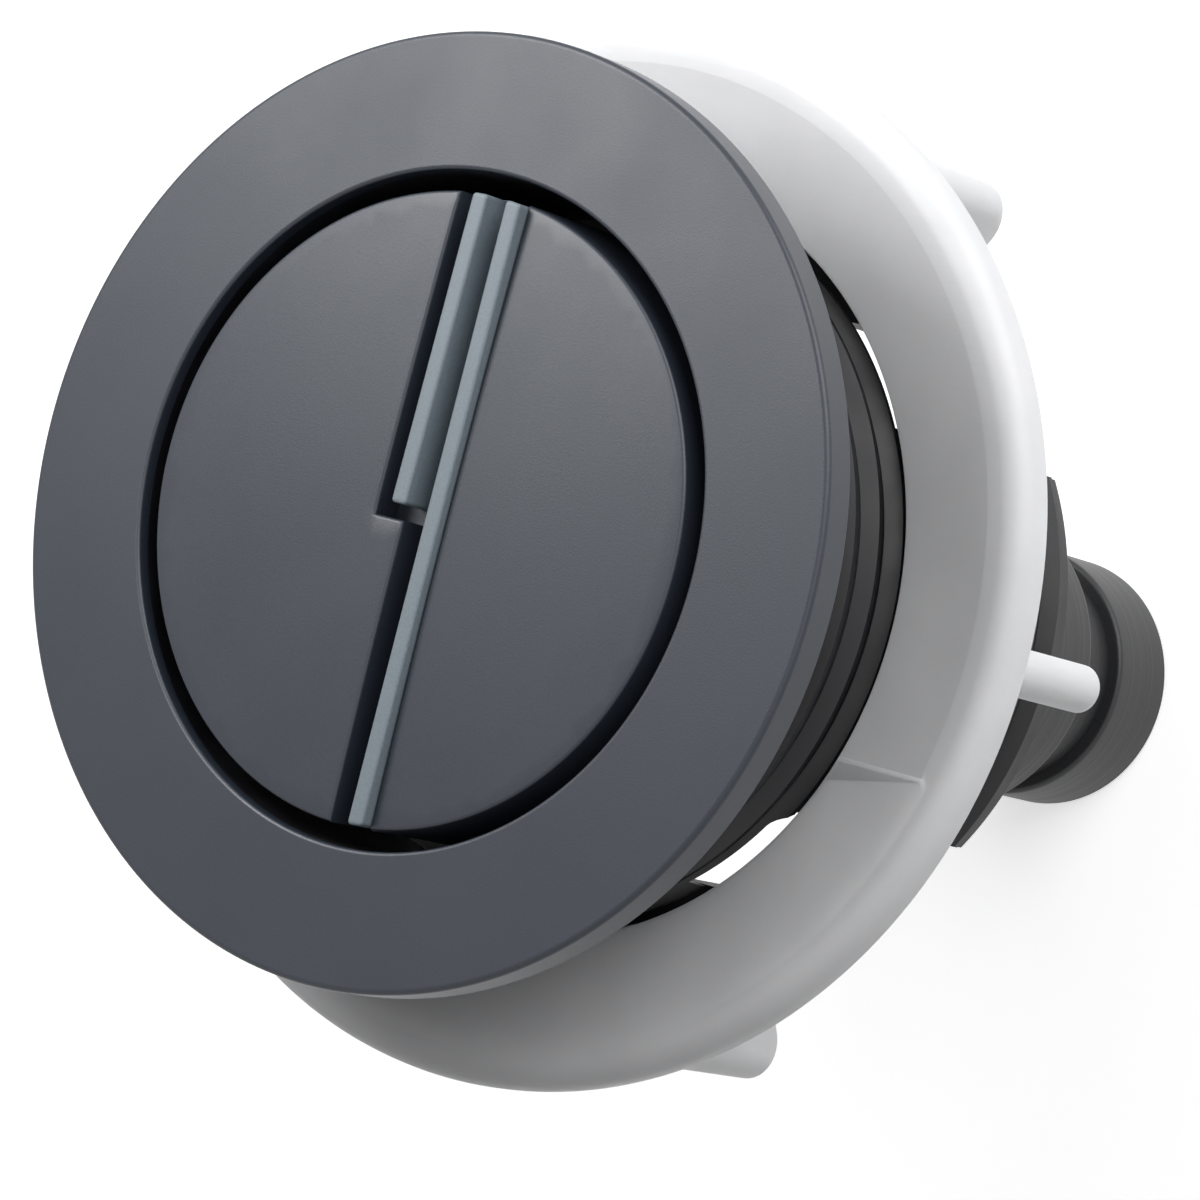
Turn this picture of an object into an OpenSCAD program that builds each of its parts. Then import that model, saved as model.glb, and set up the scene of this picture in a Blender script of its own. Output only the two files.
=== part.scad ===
// Dual-flush push button for a cistern lid. Two half-moon buttons sit in a round
// bezel. A threaded shank with four legs hangs below it and carries a finned
// fixing nut. The half-flush button moves a push sleeve, and the full-flush
// button moves a push rod inside that sleeve. +Z points out of the face. The
// origin is on the axis, in the plane where the bezel's rim meets the lid.

/* [Face] */
// Radius of the bezel
bezel_r = 36.5; // [36:0.5:40]
// Height of the bezel above the lid
bezel_h = 3; // [2.8:0.1:4]
// Radius of the round opening in the bezel
opening_r = 25.85; // [25.5:0.05:26]
// Ring gap between the opening and the buttons
button_gap = 1.6; // [1.2:0.1:2]
// Rise of the buttons' faces at the middle
crown = 0.34; // [0.1:0.02:0.6]

/* [Seam and marker bars] */
// Right edge of the half-flush button below its notch
seam_x = -0.25; // [-0.6:0.05:0.2]
// Left wall of the notch in the half-flush button
notch_x = -3; // [-3.6:0.1:-2.6]
// Lower edge of the notch
notch_y = -1.05; // [-3:0.05:0]
// Left edge of the short marker bar
short_bar_x = -1.12; // [-1.5:0.02:-0.9]
// Lower end of the short marker bar
short_bar_y = 0.1; // [0:0.1:2]
// Left edge of the long marker bar
long_bar_x = 2.05; // [1.8:0.05:2.2]
// Width of a marker bar
bar_w = 1.4; // [1.2:0.02:1.5]
// Height of a marker bar above the face
bar_h = 1; // [0.5:0.1:1.5]
// Depth of the ledge that a marker bar stands on
ledge_depth = 2.4; // [2:0.1:2.6]

/* [Shank] */
// Radius over the thread
thread_r = 28.8; // [28.6:0.1:29]
// Depth of the thread
thread_depth = 1.2; // [1:0.1:1.4]
// Pitch of the thread
thread_pitch = 3.45; // [3.3:0.05:3.5]
// Depth of the first thread crest below the lid's face
first_crest = 3.3; // [3:0.1:3.6]
// Number of thread crests
crests = 13; // [12:1:13]
// Length of the shank below the lid's face
shank_l = 48.5; // [48:0.5:52]
// Depth of the guide deck's lower face below the lid's face
deck_depth = 18.7; // [18.5:0.1:18.9]
// Depth where the two front gaps between the legs begin
front_gap = 19.95; // [19.8:0.05:20.3]
// Depth where the two rear gaps begin
rear_gap = 20.8; // [20.4:0.05:21]
// Half width of the two side legs
side_leg_y = 15.1; // [14:0.1:15.5]
// Distance of the two end legs from the middle plane
end_leg_y = 22.3; // [21.5:0.1:23]

/* [Fixing nut] */
// Radius of the nut's rim
nut_r = 42; // [41:0.5:44]
// Depth of the rim's front below the lid's face
nut_front = 16.2; // [16:0.1:16.4]
// Depth of the fins' rear ends below the lid's face
fin_end = 33; // [32:0.5:36]
// Number of fins
fins = 6; // [4:1:8]
// Thickness of a fin
fin_t = 3.7; // [3:0.1:4]

/* [Push parts] */
// Travel of each button
travel = 6.5; // [5:0.5:6.5]
// Outer radius of the push sleeve
sleeve_r = 13.3; // [13:0.1:13.4]
// Depth of the push sleeve's end below the lid's face
sleeve_end = 78; // [60:1:78]
// Outer radius of the push rod
rod_r = 9.7; // [9.4:0.1:9.8]
// Depth of the push rod's end below the lid's face
rod_end = 87.2; // [86:0.2:110]
// Radius of the collar on the rod's end
collar_r = 10.9; // [10.4:0.1:11.5]
// Length of that collar
collar_l = 8.3; // [6:0.1:12]

/* [Hidden] */
$fn = 96;

slack = 0.05;           // radial play of a sliding fit
edge = 0.3;             // rounding of the face edges
rim_edge = 0.4;         // rounding of the bezel's outer edge
through = 1;            // how far a cut runs past the face that it opens

// Heights of the bezel and of the flange and gasket under it
skin_t = 1.2;
flange_top = bezel_h - skin_t;
flange_bottom = flange_top - 1.2;
gasket_bottom = flange_bottom - 1;
flange_r = bezel_r - 1.7;
gasket_in = thread_r + 0.5;
gasket_out = flange_r - 0.2;

// Buttons
button_r = opening_r - button_gap;
crown_r = 22.5;         // radius at which the domed face is level with the bezel
top_t = 2;              // thickness of a button's face
wall = 1.6;             // thickness of its walls
top_under = bezel_h - top_t;
ledge_z = bezel_h - ledge_depth;
deck_bottom = -deck_depth;
deck_top = deck_bottom + 2.3;
skirt_bottom = deck_top + travel + 0.3;
seam_bottom = top_under - 5;
bar_end_gap = 0.15;     // how far the bars' ends stay behind the buttons' rounds
face_x = long_bar_x + bar_w;

// Carriers, sleeve and rod
plate_t = 2;
plate_bottom = top_under - plate_t;
plate_r = button_r - wall - 0.25;
half_plate_x = notch_x - wall - 0.25;
full_plate_x = face_x + wall + 0.25;
ring_top = seam_bottom - travel - 0.7;
ring_bottom = ring_top - 2;
socket_r = 11.8;
socket_l = 6;
rod_bore_r = 7.7;
spigot_l = 8;
sleeve_bore_r = rod_r + 0.9;
lip_l = 4;
pin_r = 1;
pin_z = ring_bottom - 3;

// Guide deck and the hooks that hold the buttons in
guide_l = 11.3;
guide_wall = 2;
hook_x = 20;
hook_t = 1.6;
hook_w = 6;
hook_reach = 1.5;
hook_slot = 0.4;        // room round a hook's stem in the deck
boss_at = [21.7, 8.2];
boss_r = 3.2;
boss_l = 7;
screw_r = 1.2;
screw_head_r = 2.2;
screw_head_t = 1.2;

// Fixing nut's mouth and the pad on its face
nut_mouth = [thread_r + 1.3, -nut_front - 2.3];
pad_h = 0.15;
pad_x = nut_r - 2.6;
pad_y = 10.1;

// Return springs
spring_at = [13.5, 13];
coil_r = 2.8;
wire_r = 0.45;
turns = 7;
end_pitch = 1;          // pitch of the close turn at each end
coil_steps = 14;        // steps in a turn
wire_sides = 6;
peg_r = coil_r - wire_r - 0.4;
peg_l = 2.5;

// Points of an arc round c, from angle a0 to a1
function arc(c, r, a0, a1, n = 8) =
    [for (i = [0:n]) c + r * [cos(a0 + (a1 - a0) * i / n), sin(a0 + (a1 - a0) * i / n)]];

// Height of the domed face at radius r
function face_z(r) = bezel_h + crown * (1 - pow(r / crown_r, 2));

// Depth of thread crest k, and of the middle of the groove that follows it
function crest_z(k) = -first_crest - k * thread_pitch;
function groove_z(k) = crest_z(k) - thread_pitch / 2;

// A solid of revolution under the domed face, raised by lift
module domed_blank(bottom, lift, corner) {
    top_r = button_r - corner;
    dome = [for (i = [0:8]) [top_r * i / 8, face_z(top_r * i / 8) + lift]];
    round_edge = arc([top_r, face_z(top_r) + lift - corner], corner, 90, 0);
    rotate_extrude()
        polygon(concat([[0, bottom]], dome, round_edge, [[button_r, bottom]]));
}

// A straight prism over a plan outline, from z0 up to z1
module prism(z0, z1) {
    translate([0, 0, z0])
        linear_extrude(z1 - z0)
            children();
}

// A ring from z0 up to z1
module ring(r_out, r_in, z0, z1) {
    prism(z0, z1)
        difference() {
            circle(r = r_out);
            circle(r = r_in);
        }
}

// The part of a disc between two planes across X
module disc_strip(r, x0, x1) {
    intersection() {
        circle(r = r);
        translate([x0, -r])
            square([x1 - x0, 2 * r]);
    }
}

// Plan of the half-flush button's raised face, drawn in by inset on every side
module half_plan(inset) {
    r = button_r - inset;
    disc_strip(r, -r, notch_x - inset);
    intersection() {
        disc_strip(r, -r, seam_x - inset);
        translate([-r, -r])
            square([2 * r, r + notch_y - inset]);
    }
}

// Plan of the ledge in the notch
module notch_plan(inset) {
    r = button_r - inset;
    intersection() {
        disc_strip(r, notch_x - wall, short_bar_x + bar_w - inset);
        translate([-r, notch_y + inset])
            square([2 * r, 2 * r]);
    }
}

// Cover ring with rounded edges. It sits on the flange of the shank
module bezel() {
    outline = concat(
        [[opening_r, flange_top]],
        arc([opening_r + edge, bezel_h - edge], edge, 180, 90),
        arc([bezel_r - rim_edge, bezel_h - rim_edge], rim_edge, 90, 0),
        [[bezel_r, 0], [flange_r + 0.1, 0], [flange_r + 0.1, flange_top]]
    );
    color([0.33, 0.36, 0.41])
        rotate_extrude()
            polygon(outline);
}

// Rubber ring in the recess under the flange
module bezel_gasket() {
    lip = 0.3;
    color([0.1, 0.1, 0.1])
        rotate_extrude()
            polygon([
                [gasket_in, flange_bottom], [gasket_in, gasket_bottom + lip],
                [gasket_in + lip, gasket_bottom], [gasket_out - lip, gasket_bottom],
                [gasket_out, gasket_bottom + lip], [gasket_out, flange_bottom]
            ]);
}

// Section of the flanged and threaded shank
module shank_section() {
    root_r = thread_r - thread_depth;
    crest_w = 0.25;
    base_w = 0.95;
    thread = [for (k = [crests - 1:-1:0]) each [
        [root_r, crest_z(k) - base_w], [thread_r, crest_z(k) - crest_w],
        [thread_r, crest_z(k) + crest_w], [root_r, crest_z(k) + base_w]
    ]];
    polygon(concat(
        [[opening_r, -shank_l], [root_r - 0.6, -shank_l], [root_r, -shank_l + 0.6]],
        thread,
        [[root_r, flange_bottom], [flange_r, flange_bottom], [flange_r, flange_top], [opening_r, flange_top]]
    ));
}

// The gap between a side leg and an end leg, cut straight through along X
module leg_slot(gap) {
    fillet = 1.5;
    cut_end = -shank_l - through;
    rotate([90, 0, 90])
        linear_extrude(2 * thread_r + 2 * through, center = true)
            polygon(concat(
                [[end_leg_y, cut_end], [end_leg_y, -gap]],
                arc([side_leg_y + fillet, -gap - fillet], fillet, 90, 180),
                [[side_leg_y, cut_end]]
            ));
}

// Threaded shank with its four legs. Four bosses on the side legs carry the deck
module shank_housing() {
    color([0.07, 0.07, 0.08])
        difference() {
            union() {
                rotate_extrude()
                    shank_section();
                for (sx = [-1, 1], sy = [-1, 1])
                    translate([sx * boss_at[0], sy * boss_at[1], deck_bottom - boss_l])
                        cylinder(r = boss_r, h = boss_l);
            }
            leg_slot(rear_gap);
            mirror([0, 1, 0])
                leg_slot(front_gap);
            for (sx = [-1, 1], sy = [-1, 1])
                translate([sx * boss_at[0], sy * boss_at[1], deck_bottom - boss_l + 1])
                    cylinder(r = screw_r + slack, h = boss_l);
        }
}

// Plate across the shank. Its tube guides the sleeve, and its slots take the hooks
module guide_deck() {
    guide_r = sleeve_r + slack;
    slot_x0 = hook_x - hook_slot;
    slot_l = hook_t + 2 * hook_slot;
    slot_w = hook_w + 2 * hook_slot;
    color([0.1, 0.1, 0.11])
        difference() {
            union() {
                prism(deck_bottom, deck_top)
                    circle(r = opening_r - slack);
                prism(deck_bottom - guide_l, deck_bottom)
                    circle(r = guide_r + guide_wall);
                for (a = [32, 148, 212, 328])
                    rotate(a)
                        deck_rib(guide_r + guide_wall / 2, opening_r - 2);
                for (sx = [-1, 1], sy = [-1, 1])
                    translate([sx * spring_at[0], sy * spring_at[1], deck_top])
                        cylinder(r = peg_r, h = peg_l);
            }
            prism(deck_bottom - guide_l - through, deck_top + through)
                circle(r = guide_r);
            for (side = [0, 1])
                mirror([side, 0, 0])
                    translate([slot_x0, -slot_w / 2, deck_bottom - through])
                        cube([slot_l, slot_w, 5]);
            for (sx = [-1, 1], sy = [-1, 1])
                translate([sx * boss_at[0], sy * boss_at[1], 0]) {
                    translate([0, 0, deck_bottom - through])
                        cylinder(r = screw_r + 0.2, h = 5);
                    translate([0, 0, deck_top - screw_head_t - slack])
                        cylinder(r = screw_head_r + 0.15, h = 5);
                }
        }
}

// Sloping rib under the deck, from the guide tube out to radius r1
module deck_rib(r0, r1) {
    rib_t = 1.4;
    rotate([90, 0, 0])
        linear_extrude(rib_t, center = true)
            polygon([[r0, deck_bottom], [r1, deck_bottom], [r1, deck_bottom - 1], [r0, deck_bottom - 7]]);
}

// Screws with a cross recess that hold the deck on its bosses
module deck_screws() {
    color("silver")
        for (sx = [-1, 1], sy = [-1, 1])
            translate([sx * boss_at[0], sy * boss_at[1], deck_top])
                difference() {
                    union() {
                        translate([0, 0, -screw_head_t])
                            cylinder(r = screw_head_r, h = screw_head_t);
                        translate([0, 0, -boss_l - 1])
                            cylinder(r = screw_r, h = boss_l);
                    }
                    for (a = [0, 90])
                        rotate(a)
                            cube([2.6, 0.5, 1.4], center = true);
                }
}

// Section of the nut: dished face, round rim, thin disc and threaded hub
module nut_section() {
    bore_r = thread_r + 0.5;
    mouth = nut_mouth;
    lip_l = 3.2;
    rim_round = 2;
    rim_rear = -nut_front - 3.1;
    disc_t = 2.2;
    hub_r = 32;
    hub_rear = -nut_front - 14.8;
    tip_w = 0.7;
    root_w = 1.4;
    first_ridge = ceil((nut_front + 7.5 - first_crest) / thread_pitch - 0.5);
    ridges = [for (k = [first_ridge + 1:-1:first_ridge]) each [
        [bore_r, groove_z(k) - root_w], [thread_r - 0.7, groove_z(k) - tip_w],
        [thread_r - 0.7, groove_z(k) + tip_w], [bore_r, groove_z(k) + root_w]
    ]];
    polygon(concat(
        [mouth],
        [[nut_r - 3.5, -nut_front - 0.15]],
        arc([nut_r - rim_round, -nut_front - rim_round], rim_round, 90, 0),
        arc([nut_r - 0.4, rim_rear + 0.4], 0.4, 0, -90),
        [[nut_r - 2, rim_rear], [nut_r - 2.3, -nut_front - disc_t]],
        [[hub_r, mouth[1] - disc_t + 0.3], [hub_r, hub_rear + 0.5], [hub_r - 0.5, hub_rear], [bore_r, hub_rear]],
        ridges,
        [[bore_r, mouth[1] - lip_l - 0.8], [mouth[0], mouth[1] - lip_l]]
    ));
}

// Low raised pad on the front half of the nut's face, flush with the rim's top
module nut_pad() {
    rim_in = nut_r - 3.5;
    pad_out = nut_r - 2;
    intersection() {
        rotate_extrude()
            polygon([
                nut_mouth + [0, pad_h], [rim_in, -nut_front], [pad_out, -nut_front],
                [pad_out, -nut_front - 1], nut_mouth + [0, -1]
            ]);
        translate([-pad_x, -2 * nut_r, -fin_end])
            cube([2 * pad_x, 2 * nut_r - pad_y, fin_end]);
    }
}

// One fin behind the disc, with a round outer edge and a round rear corner
module nut_fin() {
    fin_r = nut_r - 0.7;
    fin_in = 30.5;
    fin_top = -nut_front - 1.8;
    corner = 2;
    intersection() {
        prism(-fin_end, fin_top)
            union() {
                translate([fin_in, -fin_t / 2])
                    square([fin_r - fin_t / 2 - fin_in, fin_t]);
                translate([fin_r - fin_t / 2, 0])
                    circle(d = fin_t);
            }
        rotate([90, 0, 0])
            linear_extrude(fin_t + 2, center = true)
                polygon(concat(
                    [[fin_in, fin_top], [fin_in, -fin_end]],
                    arc([fin_r - corner, -fin_end + corner], corner, -90, 0),
                    [[fin_r, fin_top]]
                ));
    }
}

// White nut that clamps the lid from below, turned by its fins
module fixing_nut() {
    color("white")
        union() {
            rotate_extrude()
                nut_section();
            nut_pad();
            for (i = [0:fins - 1])
                rotate(-1 + 360 / fins * i)
                    difference() {
                        nut_fin();
                        cylinder(r = 31, h = 4 * fin_end, center = true);
                    }
        }
}

// Half-flush button: a D-shaped cup with a notch that has a ledge in it
module half_flush_cap() {
    color([0.3, 0.33, 0.37])
        difference() {
            union() {
                intersection() {
                    domed_blank(skirt_bottom, 0, edge);
                    prism(skirt_bottom - through, bezel_h + 2)
                        half_plan(0);
                }
                prism(seam_bottom, ledge_z)
                    notch_plan(0);
            }
            prism(skirt_bottom - through, top_under)
                half_plan(wall);
            prism(seam_bottom - through, ledge_z - wall)
                notch_plan(wall);
            prism(skirt_bottom - through, seam_bottom)
                circle(r = button_r - wall);
        }
}

// Full-flush button: a D-shaped cup with a ledge along its seam
module full_flush_cap() {
    color([0.3, 0.33, 0.37])
        difference() {
            union() {
                intersection() {
                    domed_blank(skirt_bottom, 0, edge);
                    prism(skirt_bottom - through, bezel_h + 2)
                        disc_strip(button_r, face_x, button_r);
                }
                intersection() {
                    prism(skirt_bottom, ledge_z)
                        disc_strip(button_r, long_bar_x, face_x + wall);
                    prism(skirt_bottom, ledge_z)
                        circle(r = button_r);
                }
            }
            prism(skirt_bottom - through, top_under)
                disc_strip(button_r - wall, face_x + wall, button_r);
            prism(skirt_bottom - through, seam_bottom)
                circle(r = button_r - wall);
        }
}

// A marker bar between two planes across X, from y0 to the button's round edge
module marker_bar(x0, y0) {
    r = button_r - bar_end_gap;
    intersection() {
        domed_blank(ledge_z, bar_h, edge);
        prism(ledge_z, bezel_h + bar_h + 2)
            intersection() {
                disc_strip(r, x0, x0 + bar_w);
                translate([-r, y0])
                    square([2 * r, 2 * r]);
            }
    }
}

// Short bar that stands in the notch of the half-flush button
module short_marker_bar() {
    color([0.58, 0.64, 0.68])
        marker_bar(short_bar_x, short_bar_y);
}

// Long bar along the seam of the full-flush button
module long_marker_bar() {
    color([0.58, 0.64, 0.68])
        marker_bar(long_bar_x, -button_r);
}

// Stem and barb that catch under the deck, drawn for the +X side
module hook() {
    barb_top = deck_bottom - 0.2;
    barb_bottom = barb_top - 2.4;
    rotate([90, 0, 0])
        linear_extrude(hook_w, center = true)
            polygon([
                [hook_x, plate_bottom], [hook_x + hook_t, plate_bottom], [hook_x + hook_t, barb_bottom],
                [hook_x, barb_bottom], [hook_x - hook_reach, barb_top - 0.6], [hook_x - hook_reach, barb_top],
                [hook_x, barb_top]
            ]);
}

// Plate, spring pegs and hook that the two carriers have alike, for the +X side
module carrier_plate(x0) {
    prism(plate_bottom, top_under)
        disc_strip(plate_r, x0, plate_r);
    for (sy = [-1, 1])
        translate([spring_at[0], sy * spring_at[1], plate_bottom - peg_l])
            cylinder(r = peg_r, h = peg_l);
    hook();
}

// Carrier of the half-flush button. Its ring holds the sleeve and guides the rod
module half_flush_carrier() {
    bore_r = rod_r + slack;
    color([0.12, 0.12, 0.13])
        difference() {
            union() {
                mirror([1, 0, 0])
                    carrier_plate(-half_plate_x);
                prism(ring_top, plate_bottom)
                    disc_strip(sleeve_r, -sleeve_r, half_plate_x);
                prism(ring_bottom, ring_top)
                    circle(r = sleeve_r);
                prism(ring_bottom - socket_l, ring_bottom)
                    circle(r = socket_r);
            }
            prism(ring_bottom - socket_l - through, plate_bottom)
                circle(r = bore_r);
            sleeve_pin_holes();
        }
}

// Carrier of the full-flush button. Its spigot holds the rod
module full_flush_carrier() {
    color([0.12, 0.12, 0.13])
        difference() {
            union() {
                carrier_plate(full_plate_x);
                prism(ring_top, plate_bottom)
                    disc_strip(rod_r, full_plate_x, rod_r);
                prism(ring_bottom, ring_top)
                    circle(r = rod_r);
                prism(ring_bottom - spigot_l, ring_bottom)
                    circle(r = rod_bore_r);
            }
            rod_pin_hole();
        }
}

// Holes for the pins that join the sleeve to its carrier
module sleeve_pin_holes() {
    translate([0, 0, pin_z])
        rotate([90, 0, 0])
            cylinder(r = pin_r, h = 4 * sleeve_r, center = true);
}

// Hole for the pin that joins the rod to its carrier
module rod_pin_hole() {
    translate([0, 0, pin_z])
        rotate([90, 0, 0])
            cylinder(r = pin_r, h = 4 * rod_r, center = true);
}

// Outer tube that works the half flush. A lip at its lower end guides the rod
module push_sleeve() {
    end_round = 0.6;
    socket_end = ring_bottom - socket_l - 0.2;
    color([0.16, 0.17, 0.18])
        difference() {
            rotate_extrude()
                polygon(concat(
                    [[socket_r + slack, ring_bottom], [socket_r + slack, socket_end], [sleeve_bore_r, socket_end]],
                    [[sleeve_bore_r, -sleeve_end + lip_l], [rod_r + slack, -sleeve_end + lip_l - 0.8]],
                    [[rod_r + slack, -sleeve_end]],
                    arc([sleeve_r - end_round, -sleeve_end + end_round], end_round, -90, 0),
                    [[sleeve_r, ring_bottom]]
                ));
            sleeve_pin_holes();
        }
}

// Two short pins through the sleeve and the carrier's socket, clear of the rod
module sleeve_pins() {
    pin_l = sleeve_r - rod_r - 0.5;
    color("silver")
        for (side = [-1, 1])
            translate([0, side * (rod_r + 0.3 + pin_l / 2), pin_z])
                rotate([90, 0, 0])
                    cylinder(r = pin_r, h = pin_l, center = true);
}

// Inner tube that works the full flush
module push_rod() {
    color([0.12, 0.12, 0.13])
        difference() {
            ring(rod_r, rod_bore_r + slack, -rod_end, ring_bottom);
            rod_pin_hole();
        }
}

// Cross pin through the rod and the carrier's spigot
module rod_pin() {
    color("silver")
        translate([0, 0, pin_z])
            rotate([90, 0, 0])
                cylinder(r = pin_r, h = 2 * (rod_r - 0.4), center = true);
}

// Collar on the rod's end, with a spigot inside the rod and a shallow hollow below
module end_collar() {
    plug_l = 10;
    bottom = -rod_end - collar_l;
    color([0.16, 0.17, 0.18])
        rotate_extrude()
            polygon(concat(
                [[0, bottom + 1.5], [6.5, bottom + 1.5], [7.2, bottom]],
                arc([collar_r - 0.5, bottom + 0.5], 0.5, -90, 0),
                arc([collar_r - 0.4, -rod_end - 0.4], 0.4, 0, 90),
                [[rod_bore_r, -rod_end], [rod_bore_r, -rod_end + plug_l - 0.5]],
                [[rod_bore_r - 0.5, -rod_end + plug_l], [0, -rod_end + plug_l]]
            ));
}

// Height of a spring's wire after t turns, with a close turn at each end
function wire_z(t, rise) =
    let (open_pitch = (rise - 2 * end_pitch) / (turns - 2))
    t < 1 ? t * end_pitch
    : t > turns - 1 ? rise - (turns - t) * end_pitch
    : end_pitch + (t - 1) * open_pitch;

// Ring of wire points at step i of the coil
function wire_ring(i, rise) =
    let (t = i / coil_steps, a = 360 * t)
    [for (s = [0:wire_sides - 1])
        let (b = 360 * s / wire_sides, r = coil_r + wire_r * cos(b))
        [r * cos(a), r * sin(a), wire_z(t, rise) + wire_r * sin(b)]];

// Helical return spring between the deck and a carrier, at a signed place
module return_spring(sx, sy) {
    rise = plate_bottom - deck_top - 2 * wire_r;
    steps = turns * coil_steps;
    points = [for (i = [0:steps]) each wire_ring(i, rise)];
    sides = [for (i = [0:steps - 1], s = [0:wire_sides - 1])
        let (n = (s + 1) % wire_sides, a = i * wire_sides, b = a + wire_sides)
        [a + s, b + s, b + n, a + n]];
    ends = [
        [for (s = [0:wire_sides - 1]) s],
        [for (s = [wire_sides - 1:-1:0]) steps * wire_sides + s]
    ];
    color("silver")
        translate([sx * spring_at[0], sy * spring_at[1], deck_top + wire_r])
            polyhedron(points, concat(sides, ends));
}

module half_spring_front() {
    return_spring(-1, -1);
}

module half_spring_rear() {
    return_spring(-1, 1);
}

module full_spring_front() {
    return_spring(1, -1);
}

module full_spring_rear() {
    return_spring(1, 1);
}

bezel();
bezel_gasket();
shank_housing();
guide_deck();
deck_screws();
fixing_nut();
half_flush_cap();
short_marker_bar();
half_flush_carrier();
push_sleeve();
sleeve_pins();
full_flush_cap();
long_marker_bar();
full_flush_carrier();
push_rod();
rod_pin();
end_collar();
half_spring_front();
half_spring_rear();
full_spring_front();
full_spring_rear();
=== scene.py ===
# %% [markdown]
# # A dual-flush cistern push button
# The button is seen from its face, a little from the right, with its threaded shank, its white
# nut and its push tubes behind it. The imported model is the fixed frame: it says where every
# piece lies, in metres, with +Z out of the face and the axis of the shank through the origin.
# Each piece that shows is made again here with finer edges, on the same sizes.

# %% Load the frame
import math
import bmesh
import bpy
from mathutils import Matrix, Vector
from mathutils.geometry import delaunay_2d_cdt


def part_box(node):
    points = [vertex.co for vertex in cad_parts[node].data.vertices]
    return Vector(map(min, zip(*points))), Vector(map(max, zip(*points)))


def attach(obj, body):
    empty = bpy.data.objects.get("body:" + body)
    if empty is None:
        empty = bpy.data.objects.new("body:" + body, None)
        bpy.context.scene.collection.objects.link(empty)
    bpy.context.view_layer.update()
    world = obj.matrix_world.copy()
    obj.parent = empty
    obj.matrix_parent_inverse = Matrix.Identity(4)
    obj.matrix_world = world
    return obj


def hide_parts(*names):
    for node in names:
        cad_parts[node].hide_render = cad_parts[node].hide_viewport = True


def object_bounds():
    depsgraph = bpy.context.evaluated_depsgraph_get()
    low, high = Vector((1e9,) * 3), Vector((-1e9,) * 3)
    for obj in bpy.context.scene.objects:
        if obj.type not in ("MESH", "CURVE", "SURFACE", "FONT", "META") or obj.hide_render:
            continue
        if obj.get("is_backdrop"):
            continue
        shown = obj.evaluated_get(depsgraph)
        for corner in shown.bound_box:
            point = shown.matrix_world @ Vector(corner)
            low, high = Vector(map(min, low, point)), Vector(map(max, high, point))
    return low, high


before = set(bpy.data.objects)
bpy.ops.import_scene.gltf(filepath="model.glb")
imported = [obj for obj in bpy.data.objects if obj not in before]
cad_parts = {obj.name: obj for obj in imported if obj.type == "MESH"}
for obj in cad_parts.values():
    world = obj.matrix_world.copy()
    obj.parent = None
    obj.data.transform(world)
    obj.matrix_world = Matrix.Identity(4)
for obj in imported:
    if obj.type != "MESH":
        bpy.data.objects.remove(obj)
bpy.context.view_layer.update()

# %% [markdown]
# ## Sizes
# The large sizes are read from the nodes' boxes, so they follow the CAD model. Small ones,
# such as the rounding of an edge, are named here in millimetres times MM.

# %% Read the sizes
MM = 0.001


def top_of(node):
    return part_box(node)[1].z


def bottom_of(node):
    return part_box(node)[0].z


def radius_of(node):
    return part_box(node)[1].x


FACE = top_of("bezel")
BEZEL_R = radius_of("bezel")
OPENING_R = 25.85 * MM
BUTTON_R = radius_of("full_flush_cap")
COLLAR_R = radius_of("end_collar")
SLEEVE_R = radius_of("push_sleeve")
ROD_R = radius_of("push_rod")
FLANGE_R = radius_of("shank_housing")
THREAD_R = 28.8 * MM
SHANK_END = bottom_of("shank_housing")
EDGE = 0.3 * MM
print(f"face {FACE:.4f}, bezel {BEZEL_R:.4f}, buttons {BUTTON_R:.5f}, shank end {SHANK_END:.4f}")

# %% [markdown]
# ## Camera
# The camera stands where the photograph's stood: in front of the face, to its right, and
# turned about its own axis so that the seam of the buttons leans. A long lens keeps the
# perspective as weak as it is in the photograph.

# %% Place the camera
CAMERA_AT = Vector((268.66, -3.90, 362.73)) * MM
CAMERA_LOOK = Vector((-0.57070, 0.00163, -0.82116))
CAMERA_UP = Vector((-0.20256, 0.96882, 0.14269))
CAMERA_LENS = 180.0


def turn_towards(look, up):
    """Rotation matrix of a camera or a lamp that looks along look."""
    back = -look.normalized()
    right = up.cross(back).normalized()
    return Matrix((right, back.cross(right), back)).transposed()


camera_data = bpy.data.cameras.new("camera")
camera_data.lens = CAMERA_LENS
camera_data.sensor_width = 36.0
camera_data.clip_start = 0.01
camera_data.clip_end = 20.0
camera = bpy.data.objects.new("camera", camera_data)
camera.matrix_world = Matrix.LocRotScale(CAMERA_AT, turn_towards(CAMERA_LOOK, CAMERA_UP), None)
bpy.context.scene.collection.objects.link(camera)
bpy.context.scene.camera = camera
print("camera", [round(v, 4) for v in camera.location])

# %% [markdown]
# ## Tools for materials
# Every finish here is made of noise read in Object coordinates, so that it stays on the piece.
# One helper adds a noise, one turns it into a range of numbers and one into a bump.

# %% Material helpers


def new_material(name):
    """An empty material and its shader."""
    material = bpy.data.materials.new(name)
    material.use_nodes = True
    return material, material.node_tree.nodes["Principled BSDF"]


def noise(material, scale, detail=2.0, stretch=(1, 1, 1)):
    """Noise of so many waves a metre, drawn out where stretch is under 1."""
    nodes, links = material.node_tree.nodes, material.node_tree.links
    place = nodes.new("ShaderNodeTexCoord")
    mapping = nodes.new("ShaderNodeMapping")
    mapping.inputs["Scale"].default_value = stretch
    texture = nodes.new("ShaderNodeTexNoise")
    texture.inputs["Scale"].default_value = scale
    texture.inputs["Detail"].default_value = detail
    links.new(place.outputs["Object"], mapping.inputs["Vector"])
    links.new(mapping.outputs["Vector"], texture.inputs["Vector"])
    return texture.outputs["Fac"]


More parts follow.
